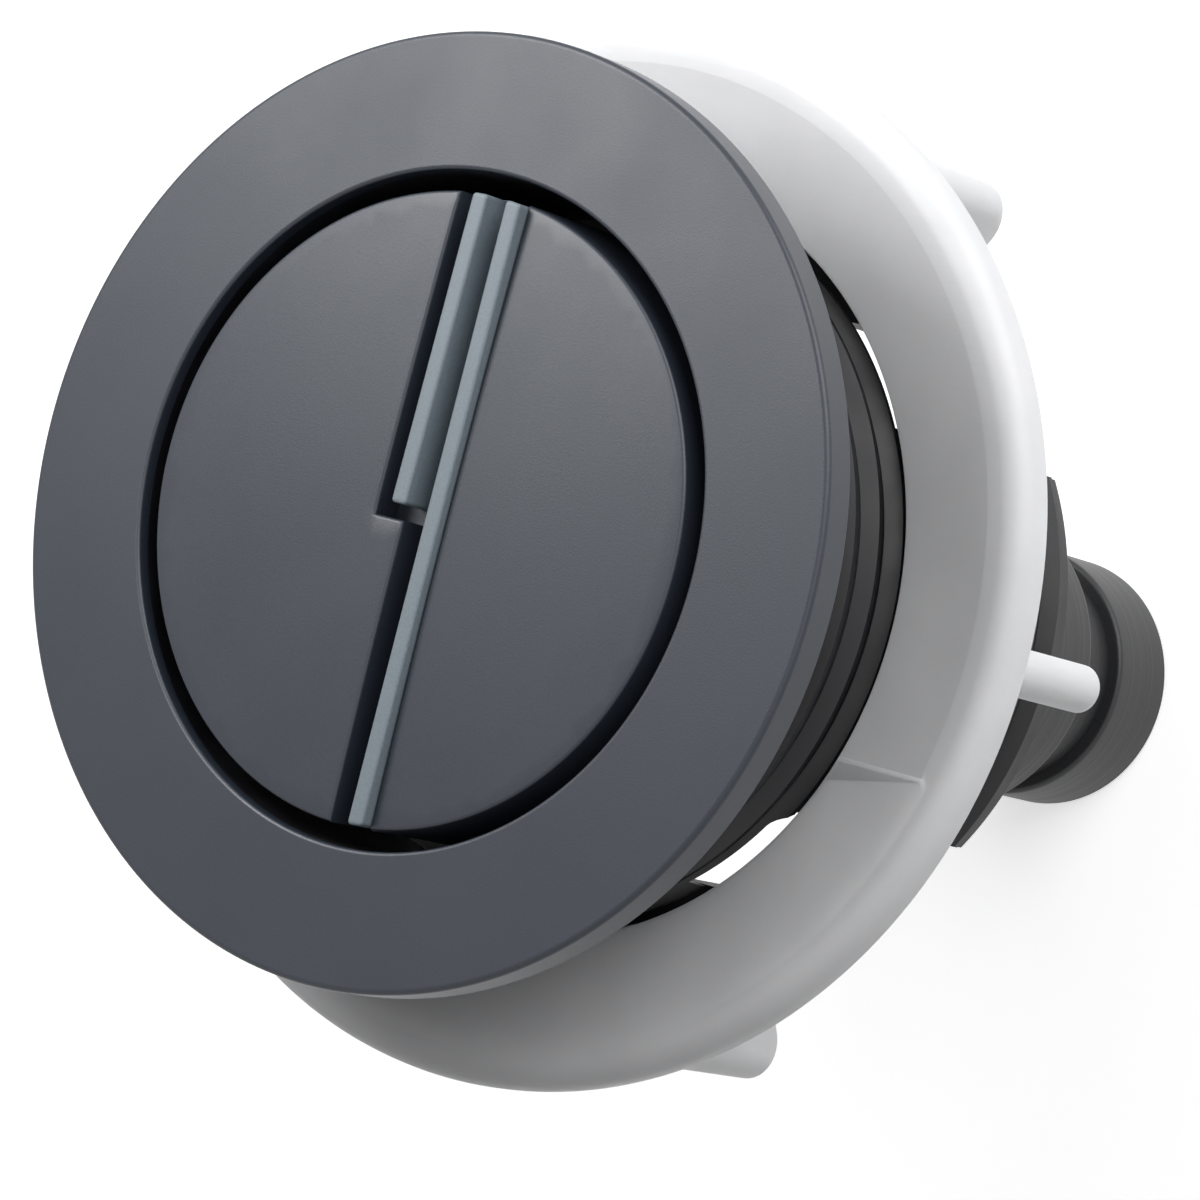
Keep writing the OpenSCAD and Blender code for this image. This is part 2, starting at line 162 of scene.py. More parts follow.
def spread(material, value, low, high, start=0.3, end=0.7):
    """Turns a noise value into a number from low to high."""
    nodes, links = material.node_tree.nodes, material.node_tree.links
    ramp = nodes.new("ShaderNodeMapRange")
    ramp.inputs["From Min"].default_value = start
    ramp.inputs["From Max"].default_value = end
    ramp.inputs["To Min"].default_value = low
    ramp.inputs["To Max"].default_value = high
    links.new(value, ramp.inputs["Value"])
    return ramp.outputs["Result"]


def tint(material, shader, value, dark, light):
    """Lets the colour run from dark to light with value."""
    nodes, links = material.node_tree.nodes, material.node_tree.links
    mix = nodes.new("ShaderNodeMix")
    mix.data_type = "RGBA"
    mix.inputs["A"].default_value = (*dark, 1)
    mix.inputs["B"].default_value = (*light, 1)
    links.new(value, mix.inputs["Factor"])
    links.new(mix.outputs["Result"], shader.inputs["Base Color"])


def roughen(material, shader, value, low, high):
    """Lets the roughness run from low to high with value."""
    links = material.node_tree.links
    links.new(spread(material, value, low, high), shader.inputs["Roughness"])


def bump(material, shader, layers):
    """Adds bumps, each a value and its height in metres."""
    nodes, links = material.node_tree.nodes, material.node_tree.links
    below = None
    for value, height in layers:
        node = nodes.new("ShaderNodeBump")
        node.inputs["Distance"].default_value = height
        links.new(value, node.inputs["Height"])
        if below is not None:
            links.new(below, node.inputs["Normal"])
        below = node.outputs["Normal"]
    links.new(below, shader.inputs["Normal"])


# %% [markdown]
# ## Satin face
# The bezel and the buttons have one finish: a dark slate blue with a fine satin grain. It has
# almost no colour of its own, and what shows is the soft light that it gives back. The grain
# is a bump of a tenth of a millimetre, and a broad noise makes it a little duller in places.

# %% Satin face material


def satin_face():
    material, shader = new_material("satin_face")
    cloud = noise(material, 90, detail=3)
    grain = noise(material, 7000, detail=2)
    tint(material, shader, spread(material, grain, 0, 1), (0.020, 0.026, 0.037), (0.027, 0.034, 0.047))
    roughen(material, shader, cloud, 0.35, 0.42)
    bump(material, shader, [(grain, 0.006 * MM)])
    return material


SATIN_FACE = satin_face()
print(SATIN_FACE.name)

# %% [markdown]
# ## Pale bars, black and white plastic, metal and rubber
# The two bars are a pale blue grey. The shank, the carriers and the tubes are black plastic:
# the shank straight from the mould, the tubes a little paler with faint rings round them. The
# nut is white plastic that lets some light into it, so its shadows stay soft.

# %% Other materials


def pale_bar():
    material, shader = new_material("pale_bar")
    grain = noise(material, 5000, detail=3)
    tint(material, shader, spread(material, grain, 0, 1), (0.15, 0.185, 0.21), (0.185, 0.225, 0.25))
    roughen(material, shader, grain, 0.42, 0.55)
    bump(material, shader, [(grain, 0.008 * MM)])
    return material


def black_plastic():
    material, shader = new_material("black_plastic")
    cloud = noise(material, 260, detail=3)
    grain = noise(material, 4200, detail=3)
    tint(material, shader, spread(material, cloud, 0, 1), (0.0045, 0.0045, 0.006), (0.008, 0.008, 0.0105))
    roughen(material, shader, cloud, 0.36, 0.5)
    bump(material, shader, [(cloud, 0.01 * MM), (grain, 0.004 * MM)])
    return material


def tube_plastic():
    material, shader = new_material("tube_plastic")
    rings = noise(material, 120, detail=4, stretch=(0.05, 0.05, 14))
    grain = noise(material, 4200, detail=3)
    tint(material, shader, spread(material, grain, 0, 1), (0.013, 0.0135, 0.015), (0.021, 0.0215, 0.024))
    roughen(material, shader, rings, 0.38, 0.55)
    bump(material, shader, [(rings, 0.02 * MM), (grain, 0.006 * MM)])
    return material


def white_plastic():
    material, shader = new_material("white_plastic")
    cloud = noise(material, 110, detail=3)
    streaks = noise(material, 160, detail=4, stretch=(1, 9, 9))
    tint(material, shader, spread(material, cloud, 0, 1), (0.78, 0.785, 0.80), (0.84, 0.845, 0.86))
    shader.inputs["Subsurface Weight"].default_value = 0.35
    shader.inputs["Subsurface Radius"].default_value = (1.0, 0.9, 0.85)
    shader.inputs["Subsurface Scale"].default_value = 1.2 * MM
    roughen(material, shader, streaks, 0.38, 0.5)
    bump(material, shader, [(cloud, 0.03 * MM), (streaks, 0.012 * MM)])
    return material


def seal_rubber():
    material, shader = new_material("seal_rubber")
    grain = noise(material, 3000, detail=3)
    tint(material, shader, spread(material, grain, 0, 1), (0.012, 0.012, 0.012), (0.022, 0.022, 0.022))
    roughen(material, shader, grain, 0.75, 0.9)
    bump(material, shader, [(grain, 0.02 * MM)])
    return material


def steel():
    material, shader = new_material("steel")
    grain = noise(material, 2600, detail=3, stretch=(1, 1, 5))
    tint(material, shader, spread(material, grain, 0, 1), (0.50, 0.50, 0.51), (0.66, 0.66, 0.67))
    shader.inputs["Metallic"].default_value = 1.0
    roughen(material, shader, grain, 0.25, 0.4)
    bump(material, shader, [(grain, 0.005 * MM)])
    return material


PALE_BAR, BLACK, TUBE = pale_bar(), black_plastic(), tube_plastic()
WHITE, RUBBER, STEEL = white_plastic(), seal_rubber(), steel()
print([m.name for m in (PALE_BAR, BLACK, TUBE, WHITE, RUBBER, STEEL)])

# %% [markdown]
# ## Tools for shapes
# Most pieces are turned shapes. A section is a list of corners, each with the radius that
# rounds it, and `rounded` puts an arc there with a support point on each side, so that smooth
# shading stays flat beside the arc. `lathe` turns the section about the axis.

# %% Section and lathe
SEGMENTS = 256
SUPPORT = 0.06 * MM


def rounded(corners, steps=5):
    """Corners are (x, y, radius). Gives the closed outline with an arc at each corner."""
    outline = []
    count = len(corners)
    for i, (x, y, radius) in enumerate(corners):
        here = Vector((x, y))
        if radius <= 0:
            outline.append(here)
            continue
        back = Vector(corners[i - 1][:2]) - here
        ahead = Vector(corners[(i + 1) % count][:2]) - here
        u, v = back.normalized(), ahead.normalized()
        half = u.angle(v) / 2
        reach = radius / math.tan(half)
        centre = here + (u + v).normalized() * (radius / math.sin(half))
        first, last = here + u * reach - centre, here + v * reach - centre
        if back.length > 2.5 * (reach + SUPPORT):
            outline.append(here + u * (reach + SUPPORT))
        turn = first.angle_signed(last)
        for k in range(steps + 1):
            outline.append(centre + Matrix.Rotation(-turn * k / steps, 2) @ first)
        if ahead.length > 2.5 * (reach + SUPPORT):
            outline.append(here + v * (reach + SUPPORT))
    return outline


def mesh_object(name, points, faces):
    """A closed mesh with merged points and outward faces."""
    mesh = bpy.data.meshes.new(name)
    mesh.from_pydata([tuple(p) for p in points], [], faces)
    tidy = bmesh.new()
    tidy.from_mesh(mesh)
    bmesh.ops.remove_doubles(tidy, verts=tidy.verts, dist=1e-7)
    bmesh.ops.dissolve_degenerate(tidy, edges=tidy.edges, dist=1e-8)
    loose = [edge for edge in tidy.edges if not edge.link_faces]
    bmesh.ops.delete(tidy, geom=loose, context="EDGES")
    bmesh.ops.recalc_face_normals(tidy, faces=tidy.faces)
    tidy.to_mesh(mesh)
    tidy.free()
    shape = bpy.data.objects.new(name, mesh)
    bpy.context.scene.collection.objects.link(shape)
    return shape


def lathe(name, section, segments=SEGMENTS):
    """Turns a closed section of (radius, height) points about the Z axis."""
    count = len(section)
    points = []
    for s in range(segments):
        turn = 2 * math.pi * s / segments
        points += [(r * math.cos(turn), r * math.sin(turn), z) for r, z in section]
    faces = []
    for s in range(segments):
        here, following = s * count, (s + 1) % segments * count
        for k in range(count):
            n = (k + 1) % count
            faces.append((here + k, following + k, following + n, here + n))
    return mesh_object(name, points, faces)


def join(target, *others):
    """Joins meshes into the first one."""
    for other in others:
        merged = bmesh.new()
        merged.from_mesh(target.data)
        merged.from_mesh(other.data)
        merged.to_mesh(target.data)
        merged.free()
        bpy.data.objects.remove(other)
    return target


def apply_modifiers(shape):
    """Turns an object with modifiers into a plain mesh, and takes them off."""
    graph = bpy.context.evaluated_depsgraph_get()
    made = bpy.data.meshes.new_from_object(shape.evaluated_get(graph))
    shape.modifiers.clear()
    shape.data = made
    return shape


def cut(shape, cutter, operation="DIFFERENCE"):
    """Cuts, or joins on, another closed mesh."""
    modifier = shape.modifiers.new("cut", "BOOLEAN")
    modifier.operation = operation
    modifier.solver = "EXACT"
    modifier.object = cutter
    apply_modifiers(shape)
    bpy.data.objects.remove(cutter)
    return shape


def dress(shape, body, slot, material, *nodes, angle=35):
    """Gives a finished piece its material, its smooth faces and its place in the frame."""
    shape.data.materials.clear()
    shape.data.materials.append(material)
    shape.data.shade_smooth()
    shape.data.set_sharp_from_angle(angle=math.radians(angle))
    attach(shape, body)
    if nodes:
        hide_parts(*nodes)
    print(f"{shape.name}: {len(shape.data.polygons)} faces")
    return shape


# %% [markdown]
# ## Bezel
# The bezel is a flat cover ring. Its outer edge is rounded a little more than the edge of its
# opening, and both catch a thin line of light, so both arcs are in the mesh.

# %% Bezel
SKIN = 1.2 * MM
RIM_EDGE = 0.42 * MM
bezel = lathe("bezel_ring", rounded([
    (OPENING_R, FACE, EDGE), (BEZEL_R, FACE, RIM_EDGE), (BEZEL_R, 0, 0.12 * MM),
    (FLANGE_R + 0.1 * MM, 0, 0), (FLANGE_R + 0.1 * MM, FACE - SKIN, 0), (OPENING_R, FACE - SKIN, 0),
]))
dress(bezel, "housing", "satin_face", SATIN_FACE, "bezel")

# %% [markdown]
# ## Buttons
# Each button is a half-moon cup. Its plan is a function of an inset, so the same function
# draws the face, the steps of its rounded edge, the outside of the wall and the inside. The
# face is slightly domed: it is filled with small triangles whose heights follow the dome.

# %% Plan outlines
CROWN = 0.34 * MM
CROWN_R = 22.5 * MM
WALL = 1.6 * MM
SEAM_X = -0.25 * MM
NOTCH_X = -3.0 * MM
NOTCH_Y = -1.05 * MM
LONG_BAR_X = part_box("long_marker_bar")[0].x
BAR_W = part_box("long_marker_bar")[1].x - LONG_BAR_X
FULL_X = LONG_BAR_X + BAR_W
ARC_POINTS = 120
LINE_POINTS = 24


def dome(x, y):
    """Height of the buttons' face over a point."""
    return FACE + CROWN * (1 - (x * x + y * y) / CROWN_R ** 2)


def line_to(outline, end, points):
    """Adds evenly spaced points up to end."""
    start = Vector(outline[-1][:2])
    for k in range(1, points + 1):
        outline.append((*start.lerp(Vector(end), k / points), False))


def round_side(outline, radius, start, end):
    """Adds the round side from one angle to another."""
    for k in range(ARC_POINTS + 1):
        turn = start + (end - start) * k / ARC_POINTS
        outline.append((radius * math.cos(turn), radius * math.sin(turn), True))


def half_plan(inset):
    """Plan of the half-flush button, drawn in by inset. Points are (x, y, on the round side)."""
    radius = BUTTON_R - inset
    wall_x, step_y, seam = NOTCH_X - inset, NOTCH_Y - inset, SEAM_X - inset
    outline = []
    round_side(outline, radius, math.acos(wall_x / radius), 2 * math.pi - math.acos(seam / radius))
    line_to(outline, (seam, step_y), LINE_POINTS)
    line_to(outline, (wall_x, step_y), 4)
    line_to(outline, (wall_x, math.sqrt(radius ** 2 - wall_x ** 2)), LINE_POINTS)
    return outline[:-1]


def full_plan(inset):
    """Plan of the full-flush button to the right of its bar."""
    radius = BUTTON_R - inset
    seam = FULL_X + inset
    outline = []
    turn = math.acos(seam / radius)
    round_side(outline, radius, -turn, turn)
    line_to(outline, (seam, -math.sqrt(radius ** 2 - seam ** 2)), 2 * LINE_POINTS)
    return outline[:-1]


# %% Cup from a plan
SKIRT_END = bottom_of("full_flush_cap")
SEAM_END = -4.0 * MM
CEILING = FACE - 2.0 * MM
FACE_GRID = 1.2 * MM


def fill_plan(outline, height):
    """Points and triangles over a plan, with a grid inside it, at height(x, y)."""
    count = len(outline)
    flat = [Vector((x, y)) for x, y, _ in outline]
    xs, ys = [p.x for p in flat], [p.y for p in flat]
    columns = int((max(xs) - min(xs)) / FACE_GRID)
    rows = int((max(ys) - min(ys)) / FACE_GRID)
    grid = [
        Vector((min(xs) + (i + 0.5) * FACE_GRID, min(ys) + (j + 0.5) * FACE_GRID))
        for i in range(columns) for j in range(rows)
    ]
    clear = [p for p in grid if min((p - q).length for q in flat) > 0.5 * FACE_GRID]
    edges = [(k, (k + 1) % count) for k in range(count)]
    points, _, faces, *_ = delaunay_2d_cdt(flat + clear, edges, [], 1, 1e-9)
    return [(p.x, p.y, height(p.x, p.y)) for p in points], [tuple(f) for f in faces]


def cup(name, plan, edge=EDGE, steps=4):
    """A button: domed face, rounded edge, walls and the hollow under it."""
    rings = []
    for k in range(steps + 1):
        turn = math.pi / 2 * k / steps
        inset, drop = edge * (1 - math.sin(turn)), edge * (1 - math.cos(turn))
        rings.append([(x, y, dome(x, y) - drop) for x, y, _ in plan(inset)])
    rings.append([(x, y, SKIRT_END if on_round else SEAM_END) for x, y, on_round in plan(0)])
    inner = plan(WALL)
    rings.append([(x, y, SKIRT_END if on_round else SEAM_END) for x, y, on_round in inner])
    rings.append([(x, y, CEILING) for x, y, _ in inner])
    points, faces = [], []
    for ring in rings:
        points += ring
    count = len(rings[0])
    for r in range(len(rings) - 1):
        for k in range(count):
            n = (k + 1) % count
            faces.append((r * count + k, r * count + n, (r + 1) * count + n, (r + 1) * count + k))
    for outline, height in ((plan(edge), dome), (inner, lambda x, y: CEILING)):
        more, triangles = fill_plan(outline, height)
        start = len(points)
        points += more
        faces += [tuple(start + i for i in f) for f in triangles]
    return mesh_object(name, points, faces)


def block(name, x0, x1, y0, y1, z0, z1, radius):
    """A block whose ends along Y stop at a round side of that radius."""
    outline = []
    high_left, high_right = (min(y1, math.sqrt(radius ** 2 - x * x)) for x in (x0, x1))
    low_left, low_right = (max(y0, -math.sqrt(radius ** 2 - x * x)) for x in (x0, x1))
    outline = [(x0, low_left), (x1, low_right), (x1, high_right), (x0, high_left)]
    points = [(x, y, z) for z in (z0, z1) for x, y in outline]
    faces = [(0, 1, 2, 3), (4, 5, 6, 7)] + [(k, (k + 1) % 4, (k + 1) % 4 + 4, k + 4) for k in range(4)]
    return mesh_object(name, points, faces)


LEDGE = FACE - 2.4 * MM
SHORT_BAR_LOW, SHORT_BAR_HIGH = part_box("short_marker_bar")
half_cap = cut(
    cup("half_flush_button", half_plan),
    block("notch_ledge", NOTCH_X - WALL / 2, SHORT_BAR_HIGH.x, NOTCH_Y - WALL / 2, BUTTON_R, SEAM_END, LEDGE,
          BUTTON_R - 0.02 * MM),
    operation="UNION",
)
full_cap = cut(
    cup("full_flush_button", full_plan),
    block("seam_ledge", LONG_BAR_X, FULL_X + WALL / 2, -BUTTON_R, BUTTON_R, SEAM_END, LEDGE,
          BUTTON_R - 0.02 * MM),
    operation="UNION",
)
dress(half_cap, "half_flush", "satin_face", SATIN_FACE, "half_flush_cap")
dress(full_cap, "full_flush", "satin_face", SATIN_FACE, "full_flush_cap")

# %% [markdown]
# ## Marker bars
# The bars stand on the ledges and rise a millimetre above the faces. Their tops follow the
# dome, and their long edges are rounded, which gives each a bright line on its left.

# %% Marker bars
BAR_H = 1.0 * MM
BAR_EDGE = 0.22 * MM
BAR_END_R = BUTTON_R - 0.15 * MM
BAR_CORNER = 0.3 * MM


def bar_plan(x0, x1, y0, inset):
    """Plan of a bar from y0, or the round side, up to the round side."""
    left, right, radius = x0 + inset, x1 - inset, BAR_END_R - inset
    far = [(x, math.sqrt(radius ** 2 - x * x)) for x in (left, right)]
    near = [(x, max(y0 + inset, -math.sqrt(radius ** 2 - x * x))) for x in (left, right)]
    corner = BAR_CORNER - inset
    return rounded([(*near[0], corner), (*near[1], corner), (*far[1], corner), (*far[0], corner)], steps=4)


def marker_bar(name, x0, x1, y0, steps=4):
    rings = []
    for k in range(steps + 1):
        turn = math.pi / 2 * k / steps
        inset, drop = BAR_EDGE * (1 - math.sin(turn)), BAR_EDGE * (1 - math.cos(turn))
        rings.append([(x, y, dome(x, y) + BAR_H - drop) for x, y in bar_plan(x0, x1, y0, inset)])
    rings.append([(x, y, LEDGE) for x, y in bar_plan(x0, x1, y0, 0)])
    points = [p for ring in rings for p in ring]
    count = len(rings[0])
    faces = [
        (r * count + k, r * count + (k + 1) % count, (r + 1) * count + (k + 1) % count, (r + 1) * count + k)
        for r in range(len(rings) - 1) for k in range(count)
    ]
    faces.append(tuple((len(rings) - 1) * count + k for k in range(count)))
    more, triangles = fill_plan([(x, y, False) for x, y in bar_plan(x0, x1, y0, BAR_EDGE)],
                                lambda x, y: dome(x, y) + BAR_H)
    faces += [tuple(len(points) + i for i in f) for f in triangles]
    return mesh_object(name, points + more, faces)


short_bar = marker_bar("short_bar", SHORT_BAR_LOW.x, SHORT_BAR_HIGH.x, SHORT_BAR_LOW.y)
long_bar = marker_bar("long_bar", LONG_BAR_X, LONG_BAR_X + BAR_W, -1.0)
dress(short_bar, "half_flush", "pale_bar", PALE_BAR, "short_marker_bar")
dress(long_bar, "full_flush", "pale_bar", PALE_BAR, "long_marker_bar")

# %% [markdown]
# ## Tools for Geometry Nodes
# What repeats is made by Geometry Nodes: the thread, the nut's fins and the turns of the springs.
# Each tree has named inputs. They are set on the modifier by the socket's
# identifier, and the result is turned into a plain mesh.

# %% Geometry Nodes helpers


class Tree:
    """A small wrapper that adds nodes and links in one line each."""

    def __init__(self, name, **inputs):
        self.group = bpy.data.node_groups.new(name, "GeometryNodeTree")
        face = self.group.interface
        face.new_socket(name="Geometry", in_out="INPUT", socket_type="NodeSocketGeometry")
        for label, kind in inputs.items():
            face.new_socket(name=label, in_out="INPUT", socket_type="NodeSocket" + kind)
        face.new_socket(name="Geometry", in_out="OUTPUT", socket_type="NodeSocketGeometry")
        self.inputs = self.add("NodeGroupInput").outputs
        self.output = self.add("NodeGroupOutput").inputs["Geometry"]

    def add(self, kind, links=None, **settings):
        """Adds a node, sets its own settings and links or sets its inputs."""
        node = self.group.nodes.new(kind)
        for label, value in settings.items():
            setattr(node, label, value)
        for label, value in (links or {}).items():
            socket = node.inputs[label]
            if isinstance(value, bpy.types.NodeSocket):
                self.group.links.new(value, socket)
            else:
                socket.default_value = value
        return node

    def math(self, operation, first, second=0.0, third=0.0):
        """One step of arithmetic."""
        return self.add("ShaderNodeMath", {0: first, 1: second, 2: third}, operation=operation).outputs[0]

    def end(self, geometry, material):
        """Ends the tree in Realize Instances and Set Material."""
        real = self.add("GeometryNodeRealizeInstances", {"Geometry": geometry}).outputs["Geometry"]
        coated = self.add("GeometryNodeSetMaterial", {"Geometry": real, "Material": material})
        self.group.links.new(coated.outputs["Geometry"], self.output)


def grow(shape, tree, **values):
    """Runs a tree on an object with these inputs, and keeps the plain result."""
    modifier = shape.modifiers.new(tree.group.name, "NODES")
    modifier.node_group = tree.group
    for item in tree.group.interface.items_tree:
        if item.in_out == "INPUT" and item.name in values:
            modifier[item.identifier] = values[item.name]
    return apply_modifiers(shape)


# %% [markdown]
# ## Threaded shank
# The shank's section is one closed line: the flange and the bore are listed, and the
# thread between them is drawn by the tree, four points a crest. Mesh to Curve and Curve to Mesh then
# turn the whole section round the axis. The gaps between the four legs are cut afterwards,
# straight through along X, as the mould's slides leave them.

# %% Thread tree


def thread_tree():
    tree = Tree("threaded_sleeve", Crests="Int", Pitch="Float", First="Float", Root="Float",
                Depth="Float", CrestWidth="Float", BaseWidth="Float", Segments="Int")
    given = tree.inputs
    points = tree.math("MULTIPLY", given["Crests"], 4.0)
    line = tree.add("GeometryNodeMeshLine", {"Count": points}, mode="OFFSET").outputs["Mesh"]
    index = tree.add("GeometryNodeInputIndex").outputs["Index"]
    crest = tree.math("FLOOR", tree.math("DIVIDE", index, 4.0))
    step = tree.math("SUBTRACT", index, tree.math("MULTIPLY", crest, 4.0))
    from_middle = tree.math("SUBTRACT", step, 1.5)
    on_crest = tree.math("LESS_THAN", tree.math("ABSOLUTE", from_middle), 1.0)
    side = tree.math("SIGN", from_middle)
    width_gain = tree.math("SUBTRACT", given["CrestWidth"], given["BaseWidth"])
    width = tree.math("MULTIPLY_ADD", on_crest, width_gain, given["BaseWidth"])
    radius = tree.math("MULTIPLY_ADD", on_crest, given["Depth"], given["Root"])
    down = tree.math("MULTIPLY_ADD", crest, given["Pitch"], given["First"])
    down = tree.math("MULTIPLY_ADD", side, width, down)
    place = tree.add("ShaderNodeCombineXYZ", {"X": radius, "Y": down}).outputs["Vector"]
    thread = tree.add("GeometryNodeSetPosition", {"Geometry": line, "Position": place}).outputs["Geometry"]
    both = tree.add("GeometryNodeJoinGeometry")
    tree.group.links.new(thread, both.inputs["Geometry"])
    tree.group.links.new(given["Geometry"], both.inputs["Geometry"])
    welded = tree.add("GeometryNodeMergeByDistance", {"Geometry": both.outputs["Geometry"], "Distance": 1e-6})
    section = tree.add("GeometryNodeMeshToCurve", {"Mesh": welded.outputs["Geometry"]}).outputs["Curve"]
    circle = tree.add("GeometryNodeCurvePrimitiveCircle", {"Resolution": given["Segments"], "Radius": MM})
    turned = tree.add("GeometryNodeCurveToMesh", {"Curve": circle.outputs["Curve"], "Profile Curve": section})
    tree.end(turned.outputs["Mesh"], BLACK)
    return tree


# %% Shank
CRESTS = 13
PITCH = 3.45 * MM
FIRST_CREST = 3.3 * MM
THREAD_DEPTH = 1.2 * MM
CREST_W = 0.22 * MM
BASE_W = 0.95 * MM
GAP_TOPS = {1: -20.8 * MM, -1: -19.95 * MM}
SIDE_LEG_Y = 15.1 * MM
END_LEG_Y = 22.3 * MM
ROOT_R = THREAD_R - THREAD_DEPTH
FLANGE_TOP = FACE - SKIN
FLANGE_BOTTOM = FLANGE_TOP - 1.2 * MM


def open_line(name, points):
    """A line of edges in the plane of the tree's section: radius along X, depth along Y."""
    mesh = bpy.data.meshes.new(name)
    edges = [(k, k + 1) for k in range(len(points) - 1)]
    mesh.from_pydata([(r - MM, -z, 0) for r, z in points], edges, [])
    shape = bpy.data.objects.new(name, mesh)
    bpy.context.scene.collection.objects.link(shape)
    return shape


def slot_cutter(side):
    """The gap between two legs as a long prism along X. Side is 1 at the rear, -1 in front."""
    fillet = 1.5 * MM
    end = SHANK_END - MM
    outline = [Vector((END_LEG_Y, end)), Vector((END_LEG_Y, GAP_TOPS[side]))]
    centre = Vector((SIDE_LEG_Y + fillet, GAP_TOPS[side] - fillet))
    for k in range(9):
        turn = math.radians(90 + 90 * k / 8)
        outline.append(centre + fillet * Vector((math.cos(turn), math.sin(turn))))
    outline.append(Vector((SIDE_LEG_Y, end)))
    count = len(outline)
    points = [(x, side * p.x, p.y) for x in (-BEZEL_R, BEZEL_R) for p in outline]
    faces = [tuple(range(count)), tuple(range(count, 2 * count))]
    faces += [(k, (k + 1) % count, (k + 1) % count + count, k + count) for k in range(count)]
    return mesh_object("slot_cutter", points, faces)


last_base = -FIRST_CREST - (CRESTS - 1) * PITCH - BASE_W
first_base = -FIRST_CREST + BASE_W
shank = open_line("threaded_shank", [
    (ROOT_R, first_base), (ROOT_R, FLANGE_BOTTOM), (FLANGE_R, FLANGE_BOTTOM), (FLANGE_R, FLANGE_TOP),
    (OPENING_R, FLANGE_TOP), (OPENING_R, SHANK_END), (ROOT_R - 0.6 * MM, SHANK_END),
    (ROOT_R, SHANK_END + 0.6 * MM), (ROOT_R, last_base),
])
THREAD = thread_tree()
grow(shank, THREAD, Crests=CRESTS, Pitch=PITCH, First=FIRST_CREST, Root=ROOT_R - MM, Depth=THREAD_DEPTH,
     CrestWidth=CREST_W, BaseWidth=BASE_W, Segments=SEGMENTS)
for side in (-1, 1):
    cut(shank, slot_cutter(side))
print("shank box", [round(v, 4) for v in shank.bound_box[0]], len(shank.data.polygons))

# %% Bosses under the deck
BOSS_R = 3.2 * MM
BOSS_AT = Vector((21.7 * MM, 8.2 * MM))
BOSS_TOP = -18.7 * MM
BOSS_L = 7.0 * MM
for sx in (-1, 1):
    for sy in (-1, 1):
        boss = lathe("boss", rounded([
            (0, BOSS_TOP, 0), (0, BOSS_TOP - BOSS_L, 0), (BOSS_R, BOSS_TOP - BOSS_L, 0.2 * MM),
            (BOSS_R, BOSS_TOP, 0),
        ]), segments=40)
        boss.data.transform(Matrix.Translation((sx * BOSS_AT.x, sy * BOSS_AT.y, 0)))
        cut(shank, boss, operation="UNION")
dress(shank, "housing", "black_plastic", BLACK, "shank_housing", angle=28)

# %% [markdown]
# ## Fixing nut
# The nut is a thin dished disc with a round rim, a threaded hub behind it and fins that a hand
# can turn. The disc, rim and hub are turned from one section. The fins are one shape that the
# tree sets round the axis, and they are joined on with a union, so the nut is one skin.

# %% Fin tree


def round_pattern_tree():
    """Sets copies of the incoming mesh round the Z axis, the first at Start degrees."""
    tree = Tree("round_pattern", Count="Int", Start="Float")
    given = tree.inputs
    gathered = tree.add("GeometryNodeMeshLine", {"Count": given["Count"], "Offset": (0, 0, 0)}, mode="OFFSET")
    index = tree.add("GeometryNodeInputIndex").outputs["Index"]
    share = tree.math("DIVIDE", index, given["Count"])
    turn = tree.math("MULTIPLY_ADD", share, 2 * math.pi, tree.math("RADIANS", given["Start"]))
    spin = tree.add("ShaderNodeCombineXYZ", {"Z": turn}).outputs["Vector"]
    placed = tree.add("GeometryNodeInstanceOnPoints", {
        "Points": gathered.outputs["Mesh"], "Instance": given["Geometry"], "Rotation": spin})
    tree.end(placed.outputs["Instances"], WHITE)
    return tree


# %% Nut
NUT_R = 42.0 * MM
NUT_FRONT = top_of("fixing_nut")
FIN_END = bottom_of("fixing_nut")
FIN_T = 3.7 * MM
FIN_R = NUT_R - 0.7 * MM
NUT_BORE = THREAD_R + 0.5 * MM
HUB_R = 32.0 * MM
HUB_END = NUT_FRONT - 14.8 * MM
MOUTH = (NUT_BORE + 0.8 * MM, NUT_FRONT - 2.3 * MM)
LIP_L = 3.2 * MM
FIN_START = -1.0
FINS = 6


def dish(x, y):
    """Height of the nut's face over a point."""
    share = (math.hypot(x, y) - MOUTH[0]) / (NUT_R - 3.6 * MM - MOUTH[0])
    return MOUTH[1] + min(share, 1.0) * (NUT_FRONT - 0.17 * MM - MOUTH[1])


